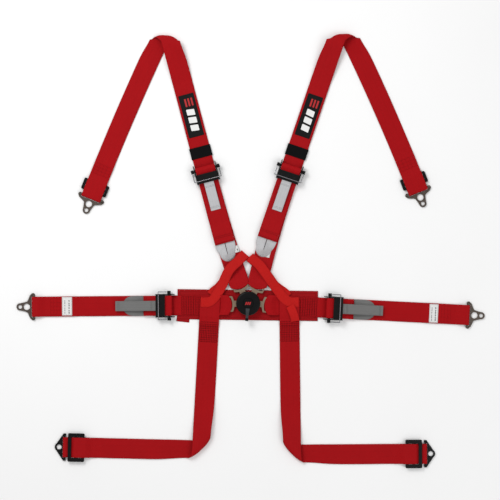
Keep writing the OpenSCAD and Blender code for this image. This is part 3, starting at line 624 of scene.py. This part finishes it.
def upper_strap(side, at, angle, tail, anchor, anchor_angle, inner_len, fold_out):
    high = LOW + 2 * FOLD_R
    inner = rounded_path(through_adjuster(long_tail(tail)) + [
        (inner_len - 110, LANE, 60), (inner_len - 14, high, 40), (inner_len, high, 0)])
    outer_len = math.dist(anchor, fold_out)
    outer_dir = heading(anchor, fold_out)
    ease = outer_dir - anchor_angle
    outer = rounded_path([
        (88, LOW, 0), (44, LOW, 3), (35.4, LOW, 1.5), (31, 5.6, 1.5), (24, 5.6, 1.5),
        (19.6, LOW, 1.5), (-3.9, LOW, 3.89), (-3.9, LOW + 7.8, 3.89), (12, LOW + 7.8, 6),
        (28, 7.7, 8), (40, 6.6, 8), (56, SECOND, 8), (90, SECOND, 8), (104, LOW, 8),
        (outer_len, LOW, 0)])
    bend = 2 * ease / outer_len
    outs = lane(outer, anchor, outer_dir - ease, bend)
    ins = lane(inner, at, angle)
    out_h = outer_dir + ease
    a, b = ins[-1]["p"], outs[-1]["p"]
    turn = []
    for k in range(1, 24):
        t = k / 24
        phi = 180 * (1 - t)
        h = angle + (out_h - angle) * t
        base = a.lerp(b, t)
        tangent = Vector((-cosd(phi) * cosd(h), -cosd(phi) * sind(h), -sind(phi)))
        point = (base.x + FOLD_R * sind(phi) * cosd(h), base.y + FOLD_R * sind(phi) * sind(h),
                 LOW + FOLD_R * (1 - cosd(phi)))
        turn.append(station(point, left_of(h), tangent.cross(left_of(h))))
    back = [dict(s, n=-s["n"]) for s in reversed(outs)]
    obj = strap(f"shoulder_upper_webbing_{side}", ins + turn + back, WEBBING,
          f"shoulder_upper_strap_{side}")
    mid_h = (angle + out_h) / 2
    mid = a.lerp(b, 0.5)
    soften_fold(obj, away((mid.x, mid.y), mid_h, FOLD_R), Vector((cosd(mid_h), sind(mid_h), 0)),
                28, 8.5)
    place = on_strap(anchor, outer_dir - ease, SECOND + WEB_T / 2, bend)
    thread(f"shoulder_anchor_stitches_{side}", sewn_box(place, 60, 86, 20, rows=5, ties=4),
           THREAD_RED)
    hem = on_strap(at, angle, THIRD + LIFT + 3.3 + WEB_T / 2)
    lines = [sewn_line(hem, (tail + d, -22), (tail + d, 22)) for d in (3.5, 16, 20)]
    thread(f"shoulder_tail_stitches_{side}", lines, THREAD_DARK)


def outer_lap(side, at, angle, anchor):
    start = away(at, angle, END_BAR[0])
    length = math.dist(start, anchor)
    path = rounded_path(fixed_end(60, 0) + [
        (80, LOW, 8), (length - 114, LOW, 8), (length - 100, SECOND, 6),
        (length - 27, SECOND, 8), (length - 10, LOW + 7.8, 6), (length + 3.9, LOW + 7.8, 3.89),
        (length + 3.9, LOW, 3.89), (length - 96, LOW, 0)])
    strap(f"lap_outer_webbing_{side}", lane(path, start, heading(start, anchor)), WEBBING,
          f"lap_outer_strap_{side}")
    place = on_strap(start, heading(start, anchor), SECOND + WEB_T / 2)
    lines = sewn_box(place, length - 66, length - 42, 20, rows=5, ties=4)
    thread(f"lap_anchor_stitches_{side}", lines, THREAD_RED)


def inner_lap(side, at, angle, tail, k):
    finish = tongue_end(k)
    length = math.dist(at, finish)
    over_pad = PAD_TOP + GAP + WEB_T / 2
    path = rounded_path(through_adjuster(short_tail(tail)) + [
        (9, LANE, 4), (18, over_pad, 4), (length - 28, over_pad, 6), (length - 13, TOP_Z, 6),
        (length + 1, TOP_Z, 2), (length + 1, UNDER_Z, 2), (length - 16, UNDER_Z, 0)])
    strap(f"lap_inner_webbing_{side}", lane(path, at, angle), WEBBING, f"lap_inner_strap_{side}",
          warp=round_end(length))
    place = on_strap(at, angle, over_pad + WEB_T / 2)
    thread(f"lap_box_stitches_{side}", sewn_box(place, 31, 78, 22.5, rows=12, ties=9),
           THREAD_DARK, width=1.0)
    hem = on_strap(at, angle, THIRD + 2.7 + WEB_T / 2)
    lines = [sewn_line(hem, (tail + d, -22), (tail + d, 22)) for d in (3.5, 8)]
    thread(f"lap_tail_stitches_{side}", lines, THREAD_DARK, pitch=3.5)


LEG_RISE = [(0, 6.1), (44, 6.1), (52, 4.2), (62, 4.0), (74, LOW), (1000, LOW)]


def lookup(s, table):
    """The height at length s in a table of (length, height) points."""
    for (a, za), (b, zb) in zip(table, table[1:]):
        if s <= b:
            return za + (zb - za) * max(0.0, s - a) / (b - a)
    return table[-1][1]


def fold_point(s, w, top, angle, crease, out):
    """Wraps a point of the flat leg strap round its fold."""
    p = Vector((*away(top, angle, s), 0)) + left_of(angle) * w
    q = (p - crease).dot(out)
    wrap = math.pi * LEG_FOLD_R
    phi = max(0.0, min(1.0, q / wrap)) * 180
    moved = 0 if q < 0 else LEG_FOLD_R * sind(phi) - q if q < wrap else wrap - 2 * q
    base = lookup(s, LEG_RISE)
    z = (base + 2 * LEG_FOLD_R * smooth(1 + q / 80) if q < 0
         else base + LEG_FOLD_R * (1 + cosd(phi)))
    p = p + out * moved
    return Vector((p.x, p.y, z)), out * sind(phi) + Vector((0, 0, cosd(phi)))


def leg_strap(side, top, vertex, anchor, sign):
    angle, out_dir = heading(top, vertex), heading(vertex, anchor)
    crease_dir = (angle + out_dir) / 2 + (180 if sign > 0 else 0)
    out = sign * left_of(crease_dir)
    crease = Vector((*vertex, 0)) - out * math.pi * LEG_FOLD_R / 2
    past = 62  # how far the first stretch runs on beyond the fold
    total = math.dist(top, vertex) + past
    s_values = [total * k / 130 for k in range(131)]
    rows = []
    for s in s_values:
        row = []
        for w in columns(WEB_W, 12):
            p, n = fold_point(s, w, top, angle, crease, out)
            row.append((w, p, n))
        rows.append((s, row))
    flat_len = math.dist(anchor, vertex)
    path = rounded_path([
        (62, LOW, 0), (-3.4, LOW, 3.39), (-3.4, LOW + 6.8, 3.39), (1, LOW + 6.8, 2), (8, 5, 4),
        (17.6, 5, 2), (24.2, 10, 2), (52, 10, 8), (68, SECOND, 8), (74, SECOND, 4),
        (84, LOW, 6), (flat_len - past + 0.6, LOW, 0)])
    tail = rows_of(lane(path, anchor, out_dir + 180), WEB_W, 12)[::-1]
    end = rows[-1][1]
    flip = (end[0][1] - tail[0][1][0][1]).length > (end[0][1] - tail[0][1][-1][1]).length
    turned = end[5][2].dot(tail[0][1][5][2]) < 0
    for v, row in tail[1:]:
        row = row[::-1] if flip else row
        row = [(end[j][0], p, -n if turned else n) for j, (w, p, n) in enumerate(row)]
        rows.append((total + tail[0][0] - v, row))
    obj = slab(f"leg_webbing_{side}", rows, WEB_T, WEBBING)
    soften_fold(obj, crease + out * LEG_FOLD_R, out, 35, 5.0)
    declare(obj, f"leg_strap_{side}")
    place = on_strap(top, angle, lambda s: lookup(s, LEG_RISE) + WEB_T / 2 + 0.1)
    thread(f"leg_box_stitches_{side}", sewn_box(place, 58, 108, 21.5, rows=11, ties=10),
           THREAD_DARK, width=0.95)


lower_strap("left", SHOULDER_L, SHOULDER_L_DIR, 0)
lower_strap("right", SHOULDER_R, SHOULDER_R_DIR, 1)
upper_strap("left", SHOULDER_L, SHOULDER_L_DIR, -191, ANCHOR_SL, ANCHOR_SL_DIR, 336,
            (-226.8, 527.5))
upper_strap("right", SHOULDER_R, SHOULDER_R_DIR, -186, ANCHOR_SR, ANCHOR_SR_DIR, 345,
            (252, 531))
inner_lap("left", LAP_L, LAP_L_DIR, -64, 2)
inner_lap("right", LAP_R, LAP_R_DIR, -61, 3)
outer_lap("left", LAP_L, LAP_L_DIR, ANCHOR_LL)
outer_lap("right", LAP_R, LAP_R_DIR, ANCHOR_LR)
leg_strap("left", (-99, -122), (-120, -501), LEG_L, 1)
leg_strap("right", (98, -120), (102.5, -511.5), LEG_R, -1)

strap("leg_loop_ribbon_left", free_stations([
    (-123, -130, 7.6, 90), (-100, -129, 7.6, 96), (-84, -112, 7.8, 148), (-70, -88, 9, 156),
    (-52, -50, 14, 145), (-30, -28, 12, 138), (-15, -12.3, 9, 138), (-12, -9.3, 5, 138),
    (-17, -14.3, 1, 138), (-32, -31, 1, 139), (-50, -52, 1, 146), (-62, -74, 1.4, 150),
    (-76, -92, 3.9, 146), (-89, -103, 4.7, 142), (-97, -113, 4.7, 140)]),
    RED_RIBBON, "leg_ribbon_left", RIBBON_W, RIBBON_T, n=6, wavy=False)
strap("leg_loop_ribbon_right", free_stations([
    (122, -130, 7.6, 90), (100, -130, 7.6, 84), (83, -118, 7.6, 40), (66, -96, 9, 36),
    (42, -62, 14, 40), (22, -36, 12, 42), (2, -20, 9, 42), (-1, -17, 5, 42),
    (3, -21, 1, 42), (22, -38, 1, 42), (40, -62, 1, 40), (54, -82, 1.5, 40),
    (72, -97, 4.1, 44), (87, -108, 4.74, 48), (95, -118, 4.7, 50)]),
    RED_RIBBON, "leg_ribbon_right", RIBBON_W, RIBBON_T, n=6, wavy=False)
strap("leg_loop_tail_right", free_stations([
    (100, -139, 9.6, 30), (103, -146, 11.2, 26), (107, -155, 12.0, 20),
    (111, -167, 10.4, 14), (113, -178, 7.6, 9)]),
    RED_RIBBON, None, RIBBON_W - 4, RIBBON_T, n=6, wavy=False)


# ---- finger loops and release tabs -------------------------------------------------------
def ribbon_of(name):
    return LAP_RIBBON if "lap" in name else GREY_RIBBON


def finger_loop(name, at, angle, start, length, lift, lean, r_end):
    """A ribbon from under the strap's hem that turns on edge round its far end."""
    base = SECOND + WEB_T / 2 + GAP + lift + RIBBON_T / 2
    ux, across = Vector((cosd(angle), sind(angle), 0)), left_of(angle)
    u0, u1 = start + 7, start - length + r_end + RIBBON_W / 2 * cosd(lean)
    local = []
    for k in range(25):
        t = k / 24
        roll = lean * smooth((t - 0.38) / 0.62)
        half = RIBBON_W / 2 * cosd(roll)
        v = (half + 0.4) * (1 - smooth((t - 0.4) / 0.6)) + r_end * smooth((t - 0.4) / 0.6)
        local.append((u0 + (u1 - u0) * t, max(v, half + 0.4), roll, 0.0))
    for k in range(1, 12):
        local.append((u1, local[24][1], lean, 180 * k / 12))
    local += [(u, v, roll, 180) for u, v, roll, _ in reversed(local[:25])]
    stations = []
    points = []
    for u, v, roll, theta in local:
        p = (Vector((*at, 0)) + ux * (u - v * sind(theta)) + across * v * cosd(theta))
        p.z = base + RIBBON_W / 2 * sind(roll) * 0.8
        outward = across * cosd(theta) - ux * sind(theta)
        points.append((p, outward * cosd(roll) - Vector((0, 0, sind(roll)))))
    for i, (p, side) in enumerate(points):
        a, b = points[max(0, i - 1)][0], points[min(len(points) - 1, i + 1)][0]
        tangent = (b - a).normalized()
        side = (side - tangent * side.dot(tangent)).normalized()
        stations.append(station(p, side, tangent.cross(side)))
    strap(name + "_ribbon", stations, ribbon_of(name), name, RIBBON_W - 0.6, RIBBON_T, n=6,
          wavy=False)


finger_loop("finger_loop_shoulder_left", SHOULDER_L, SHOULDER_L_DIR, -176, 62, LIFT + 0.7, 40, 10)
finger_loop("finger_loop_shoulder_right", SHOULDER_R, SHOULDER_R_DIR, -171, 62, LIFT + 0.7, 40, 10)
finger_loop("finger_loop_lap_left", LAP_L, LAP_L_DIR, -66, 50, 0, 10, 12)
finger_loop("finger_loop_lap_right", LAP_R, LAP_R_DIR, -66, 50, 0, 10, 12)


def release_tab(key, at, angle, length):
    """A ribbon looped over the adjuster's tab bar, hemmed at its free end."""
    r = TAB_BAR_R + GAP + RIBBON_T / 2
    tilt = math.degrees(math.asin((TAB_BAR[1] - 8.3) / length))
    flat = rounded_path([
        (-length + 15, -0.55, 0), (-7, -0.55, 2), (-3, -r, 2), (r, -r, r - 0.01),
        (r, r, r - 0.01), (-3, r, 2), (-7, 0.55, 2), (-length, 0.55, 0.5),
        (-length, -0.55, 0.5), (-length + 13, -0.55, 0)])
    path = []
    for x, z in fine(flat, 4):
        sag = 1.2 * math.sin(math.pi * min(1.0, -x / length)) if x < 0 else 0.0
        path.append((TAB_BAR[0] + x * cosd(tilt) - z * sind(tilt),
                     TAB_BAR[1] + x * sind(tilt) + z * cosd(tilt) + sag))
    body = f"tab_{key}"
    strap(f"release_tab_{key}", lane(path, at, angle), ribbon_of(key), f"tab_{key}", RIBBON_W,
          RIBBON_T, n=6, wavy=False,
          body=body)

    def top(u):
        x = (u - TAB_BAR[0]) / cosd(tilt)
        return (TAB_BAR[1] + x * sind(tilt) + 1.05 + 0.1
                + 1.2 * math.sin(math.pi * min(1.0, max(0.0, -x / length))))
    place = on_strap(at, angle, top)
    lines = [sewn_line(place, (TAB_BAR[0] + u, -11), (TAB_BAR[0] + u, 11))
             for u in (-12, -14.5, -length + 6, -length + 9)]
    thread(f"release_tab_stitches_{key}", lines, THREAD_GREY, body, pitch=2.6,
           width=0.6, wavy=False)


release_tab("shoulder_left", SHOULDER_L, SHOULDER_L_DIR, 74)
release_tab("shoulder_right", SHOULDER_R, SHOULDER_R_DIR, 80)
release_tab("lap_left", LAP_L, LAP_L_DIR, 103)
release_tab("lap_right", LAP_R, LAP_R_DIR, 103)


# ---- pad ---------------------------------------------------------------------------------
def pad():
    """Two layers of cloth round a thin foam sheet, sewn along its edges."""
    long_half, half = PAD_LEN / 2, PAD_W / 2
    turn = Matrix.Rotation(math.radians(-0.8), 3, "Z")
    centre = Vector((-6, -137.7, 0))
    rows = []
    n_u, n_w = 110, 26
    for i in range(n_u + 1):
        u = -long_half + 2 * long_half * i / n_u
        row = []
        for j in range(n_w + 1):
            w = -half + 2 * half * j / n_w
            rim = min(long_half - abs(u), half - abs(w))
            puff = 0.55 + 0.45 * smooth(rim / 5) - 0.18 * math.exp(-((rim - 6) / 1.6) ** 2)
            p = centre + turn @ Vector((u, w, 0))
            p.z = PAD_TOP / 2
            row.append((w, p, Vector((0, 0, puff))))
        rows.append((u, row))
    obj = slab("pad_cover", rows, PAD_TOP - 0.1, PAD_CLOTH, wavy=False)
    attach(obj, HARNESS)
    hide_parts("lap_pad")

    def place(u, w):
        p = centre + turn @ Vector((u, w, 0))
        return (p.x, p.y, PAD_TOP - 0.3)
    hem = 6
    edge_u, edge_w = long_half - hem, half - hem
    corners = [(-edge_u, -edge_w), (edge_u, -edge_w), (edge_u, edge_w), (-edge_u, edge_w)]
    lines = [sewn_line(place, a, b, 20) for a, b in zip(corners, corners[1:] + corners[:1])]
    thread("pad_stitches", lines, THREAD_DARK, wavy=False)
    stations = lane([(0, 0.6), (16, 0.6), (32, 0.6)], (-183.4, -172), -6, step=3)
    strap("pad_flap", stations, PAD_CLOTH, None, 12, 1.0, n=4, wavy=False)


pad()


# ---- labels and patches ------------------------------------------------------------------
class Plates:
    """Flat plates with bevelled top edges, gathered into one mesh."""

    def __init__(self):
        self.verts, self.faces, self.face_mats = [], [], []

    def add(self, outline, z0, z1, bevel, index=0):
        middle = Vector((sum(p[0] for p in outline), sum(p[1] for p in outline))) / len(outline)
        base, n = len(self.verts), len(outline)
        for z, inset in ((z0, 0), (z1 - bevel, 0), (z1 - bevel * 0.3, bevel * 0.35),
                         (z1, bevel)):
            for p in outline:
                d = Vector(p) - middle
                q = middle + d * max(0.0, 1 - inset / max(d.length, 1e-6))
                self.verts.append((q.x, q.y, z))
        for level in range(3):
            for i in range(n):
                a, b = base + level * n + i, base + level * n + (i + 1) % n
                self.faces.append((a, b, b + n, a + n))
        self.faces.append(tuple(base + 3 * n + i for i in range(n)))
        self.faces.append(tuple(base + i for i in reversed(range(n))))
        self.face_mats += [index] * (3 * n + 2)

    def make(self, name, mats, at, angle, body, slot, stand_off=None):
        """One object, turned and placed; stand_off gives a height at a place on the plan."""
        turn = Matrix.Rotation(math.radians(angle), 3, "Z")
        verts = [turn @ Vector(v) + Vector((*at, 0)) for v in self.verts]
        if stand_off:
            verts = [v + Vector((0, 0, stand_off(v.x, v.y))) for v in verts]
        obj = new_object(name, verts, self.faces, mats,
                         [(v.x * MM, v.y * MM) for v in verts], self.face_mats)
        for p in obj.data.polygons:
            p.use_smooth = False
        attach(obj, body)
        return obj


def rounded_box(x0, x1, y0, y1, r, lean=0.0, n=5):
    """The outline of a box with round corners, slanted by lean."""
    points = []
    for cx, cy, start in ((x1 - r, y1 - r, 0), (x0 + r, y1 - r, 90), (x0 + r, y0 + r, 180),
                          (x1 - r, y0 + r, 270)):
        for k in range(n + 1):
            a = start + 90 * k / n
            x, y = cx + r * cosd(a), cy + r * sind(a)
            points.append((x + lean * (y - y0), y))
    return points


def label(name, centre, z, angle, size, replaced=None, wavy=True):
    """A sewn cloth label, stitched round its edge."""
    stations = lane([(-size[0] / 2, z), (size[0] / 2, z)], centre, angle, step=3)
    strap(name, stations, LABEL_CLOTH, replaced, size[1], 0.4, n=6, wavy=wavy)
    place = on_strap(centre, angle, z + 0.2)
    u, w = size[0] / 2 - 1.6, size[1] / 2 - 1.6
    corners = [(-u, -w), (u, -w), (u, w), (-u, w)]
    lines = [sewn_line(place, a, b, 4) for a, b in zip(corners, corners[1:] + corners[:1])]
    thread(name + "_stitches", lines, THREAD_GREY, pitch=2.6, width=0.5,
           wavy=wavy)
    label_marks(name, centre, z + 0.22, angle, size, wavy)


def label_marks(name, centre, z, angle, size, wavy):
    """Plain dark dashes in columns, with no lettering."""
    dashes, pitch = Plates(), 6
    for x, wide in ((-size[0] * 0.22, 1.4), (size[0] * 0.2, 2.2)):
        for k in range(int((size[1] - 8) / pitch)):
            y = -size[1] / 2 + 4.5 + pitch * k
            length = 3.2 + 1.6 * ((k * 7 + round(wide * 5)) % 3) / 2
            dashes.add(rounded_box(x - wide / 2, x + wide / 2, y, y + length, 0.3, n=2),
                       z, z + 0.14, 0.05)
    dashes.make(name + "_marks", [MARK_DARK], centre, angle, HARNESS, "label",
                lie if wavy else None)


STRAP_TOP = SECOND + WEB_T / 2 + GAP + 0.2
label("lap_label_left", (-457, -140.5), STRAP_TOP, 0.4, (25, 46), "sewn_labels")
label("lap_label_right", (459, -158.4), STRAP_TOP, -2.9, (22, 46))
label("shoulder_label_left", (-35, 2), STRAP_TOP + LIFT, 16, (14, 17), wavy=False)
label("shoulder_label_right", (40, 0), STRAP_TOP + LIFT, -16, (26, 34), wavy=False)


def patch(name, at, angle, replaced=None):
    """A moulded rubber badge: raised rim, slanted bars and plain blocks."""
    badges = Plates()
    z = LANE + WEB_T / 2 + GAP
    badges.add(rounded_box(84, 193, -19.5, 19.5, 2.2), z, z + 1.0, 0.4)
    for x0, x1, y0, y1 in ((85.2, 191.8, 17.2, 18.4), (85.2, 191.8, -18.4, -17.2),
                           (85.2, 86.4, -17, 17), (190.6, 191.8, -17, 17)):
        badges.add(rounded_box(x0, x1, y0, y1, 0.5), z + 0.9, z + 1.4, 0.3)
    for y1 in (7.5, -0.5, -8.5):
        badges.add(rounded_box(162, 182, y1 - 4.4, y1, 0.4), z + 0.9, z + 1.35, 0.25, 1)
    for x0 in (98, 118, 138):
        badges.add(rounded_box(x0, x0 + 15, -11, 9, 1.6, lean=0.12), z + 0.9, z + 1.35, 0.3, 2)
    obj = badges.make(name, [RUBBER, MARK_RED, MARK_WHITE], at, angle, HARNESS, "patch")
    if replaced:
        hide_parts(replaced)


patch("shoulder_patch_left", SHOULDER_L, SHOULDER_L_DIR, "sewn_patches")
patch("shoulder_patch_right", SHOULDER_R, SHOULDER_R_DIR)


def badge():
    """The knob's centre disc with three slanted bars."""
    parts = Plates()
    z, radius = HEAD_Z + 1.45, 12.2
    parts.add([(radius * cosd(5 * k), radius * sind(5 * k)) for k in range(72)], z, z + 0.9, 0.4)
    for x in (-8.0, -3.2, 1.6):
        parts.add(rounded_box(x, x + 3.2, -3.6, 3.6, 0.4, lean=0.35), z + 0.8, z + 1.25, 0.2, 1)
    obj = parts.make("knob_centre_badge", [BLACK_PLASTIC, MARK_RED], BUCKLE, 0, "knob", "badge")
    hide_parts("knob_badge")


def lever_tip():
    """The black grip moulded over the end of the release lever."""
    tip = Plates()
    tip.add(rounded_box(36.5, 44.0, -4.0, 4.0, 1.2), HEAD_Z - 5.4, HEAD_Z + 4.6, 0.9)
    tip.make("release_lever_tip", [BLACK_PLASTIC], BUCKLE, LEVER_DIR, "knob", "badge")


badge()
lever_tip()

# ---- finishes of the CAD hardware --------------------------------------------------------
FINISHES = {
    "tongue_": TONGUE, "shoulder_anchor_": ANCHOR, "lap_anchor_": ANCHOR,
    "shoulder_slide_": BLACK_STEEL, "leg_anchor_": BLACK_STEEL, "leg_slide_": BLACK_STEEL,
    "adjuster_": BLACK_STEEL, "lock_bar_": BLACK_STEEL, "wire_": CHROME, "keeper_": ELASTIC,
    "buckle_back_plate": CHROME, "buckle_spindle": CHROME, "lock_pin": CHROME,
    "carrier_spring": CHROME, "buckle_housing": BLACK_PLASTIC, "turn_knob": BLACK_PLASTIC,
    "release_lever": GREY_PLASTIC,
}
for node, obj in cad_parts.items():
    for start, mat in FINISHES.items():
        if node.startswith(start):
            obj.data.materials.clear()
            obj.data.materials.append(mat)

# ---- floor, light and camera -------------------------------------------------------------
floor_mat = Nodes("floor")
cloud = floor_mat.noise(floor_mat.object_space(), 3.0)
floor_mat.link(floor_mat.mix(cloud, (0.93, 0.93, 0.93), (0.90, 0.90, 0.90)),
               floor_mat.shader.inputs["Base Color"])
floor_mat.constant(Roughness=0.9, Specular_IOR_Level=0.1)
floor = new_object("floor", [(-4000, -4000, 0), (4000, -4000, 0), (4000, 4000, 0),
                             (-4000, 4000, 0)], [(0, 1, 2, 3)], [floor_mat.mat])
floor.location.z = -0.0004  # metres: just under the lowest part

world = bpy.data.worlds.new("studio")
world.use_nodes = True
world.node_tree.nodes["Background"].inputs[0].default_value = (1, 1, 1, 1)
world.node_tree.nodes["Background"].inputs[1].default_value = 0.62
bpy.context.scene.world = world


def softbox(name, place, target, size, power):
    data = bpy.data.lights.new(name, "AREA")
    data.shape, data.size, data.energy = "SQUARE", size, power
    light = bpy.data.objects.new(name, data)
    light.location = place
    light.rotation_euler = (Vector(target) - Vector(place)).to_track_quat("-Z", "Y").to_euler()
    bpy.context.scene.collection.objects.link(light)


softbox("key", (-1.1, 1.3, 1.9), (0, 0, 0), 1.1, 30)
softbox("fill", (1.5, -0.9, 2.2), (0, 0, 0), 1.6, 14)

camera_data = bpy.data.cameras.new("camera")
CAMERA_HEIGHT, VIEW_WIDTH = 5.0, 1.25
camera_data.sensor_width = 36
camera_data.lens = 36 * CAMERA_HEIGHT / VIEW_WIDTH
camera = bpy.data.objects.new("camera", camera_data)
camera.location = (0, 0, CAMERA_HEIGHT)
bpy.context.scene.collection.objects.link(camera)
bpy.context.scene.camera = camera
bpy.context.scene.view_settings.view_transform = "Standard"
